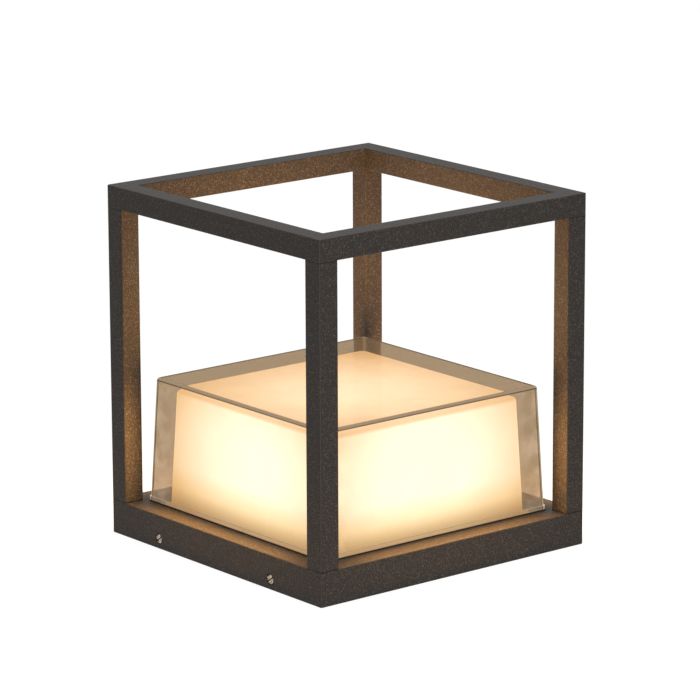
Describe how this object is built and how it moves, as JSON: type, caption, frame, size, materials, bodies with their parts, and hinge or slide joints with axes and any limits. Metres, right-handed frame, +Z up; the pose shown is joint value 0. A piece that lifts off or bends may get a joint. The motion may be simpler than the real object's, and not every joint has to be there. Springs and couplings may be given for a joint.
{
  "type": "column-top lantern",
  "caption": "Square open-frame lantern that stands on a garden column: dark posts and top frame round a clear cover and a lit opal diffuser.",
  "frame": {"origin": "centre of the square underside, on the surface that the lantern stands on", "axes": "+Z up, front face towards -Y, side screws on the -X and +X faces"},
  "size_m": [0.3, 0.3, 0.32],
  "materials": {
    "frame_paint": "fine sandy powder coat, matt",
    "clear_plastic": "clear, lightly tinted, polished",
    "opal_plastic": "opal white, satin",
    "silicone": "matt",
    "sheet_aluminium": "mill finish",
    "zinc_steel": "zinc plated",
    "stainless": "satin",
    "board_white": "white solder mask",
    "led_phosphor": "matt",
    "lens_clear": "clear, polished",
    "pad_grey": "matt",
    "white_plastic": "moulded",
    "driver_case": "moulded",
    "lead_sheath": "satin",
    "earth_sheath": "satin",
    "brass_parts": "plain"
  },
  "bodies": {
    "root": {"base_housing": "frame_paint", "top_frame": "frame_paint", "post_front_left": "frame_paint", "post_front_right": "frame_paint", "post_back_left": "frame_paint", "post_back_right": "frame_paint", "tie_rods": "zinc_steel", "tie_rod_washers": "zinc_steel", "tie_rod_nuts": "zinc_steel", "clear_cover": "clear_plastic", "cover_gasket": "silicone", "opal_diffuser": "opal_plastic", "diffuser_screws": "stainless", "gear_tray": "sheet_aluminium", "gear_tray_screws": "stainless", "tray_grommet": "silicone", "thermal_pad": "pad_grey", "led_board": "board_white", "led_chips": "led_phosphor", "led_lenses": "lens_clear", "led_board_screws": "stainless", "board_connector": "white_plastic", "led_leads": "lead_sheath", "driver": "driver_case", "driver_screws": "stainless", "terminal_block": "white_plastic", "terminal_block_screws": "stainless", "supply_leads": "lead_sheath", "earth_screw": "brass_parts", "earth_tag": "brass_parts", "earth_lead": "earth_sheath", "mounting_plate": "zinc_steel", "cable_grommet": "silicone", "plate_inserts": "zinc_steel", "side_screws": "stainless"}
  },
  "joints": []
}
